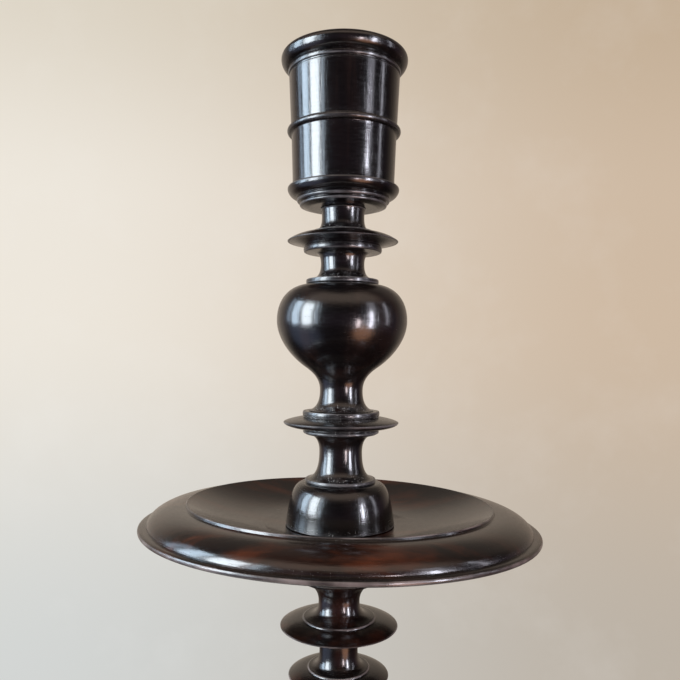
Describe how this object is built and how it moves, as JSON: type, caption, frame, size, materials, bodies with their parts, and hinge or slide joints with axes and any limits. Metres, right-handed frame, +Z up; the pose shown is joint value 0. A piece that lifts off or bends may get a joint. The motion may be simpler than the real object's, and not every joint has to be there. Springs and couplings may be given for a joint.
{
  "type": "candlestick",
  "caption": "Turned dark wood candlestick: deep beaded candle socket, knife-edged rings and a bulb on the stem, a wide moulded drip pan, and a dished round foot.",
  "frame": {"origin": "centre of the foot, on the surface that the candlestick stands on", "axes": "+Z up the turning axis towards the candle; +X and +Y are any two level directions at right angles, as the part is round"},
  "size_m": [0.24, 0.24, 0.5999],
  "materials": {
    "ebonised_wood": "black-stained hardwood, French polished to a satin gloss",
    "rosewood": "very dark red-brown rosewood, waxed and polished",
    "brass": "spun brass, lightly tarnished",
    "wedge_wood": "plain sawn hardwood, no polish",
    "green_felt": "dark green wool felt"
  },
  "bodies": {
    "stand": {"candle_socket": "ebonised_wood", "ring_knop": "ebonised_wood", "bulb_baluster": "ebonised_wood", "dome_knop": "ebonised_wood", "drip_pan": "rosewood", "disc_stem": "rosewood", "vase_baluster": "rosewood", "foot_knop": "rosewood", "foot_plate": "rosewood", "foot_wedge": "wedge_wood", "felt_ring": "green_felt"},
    "liner": {"candle_liner": "brass"}
  },
  "joints": [
    {"name": "liner_lift", "type": "slide", "parent": "stand", "child": "liner", "axis": [0, 0, 1], "range_m": [0, 0.062]}
  ]
}
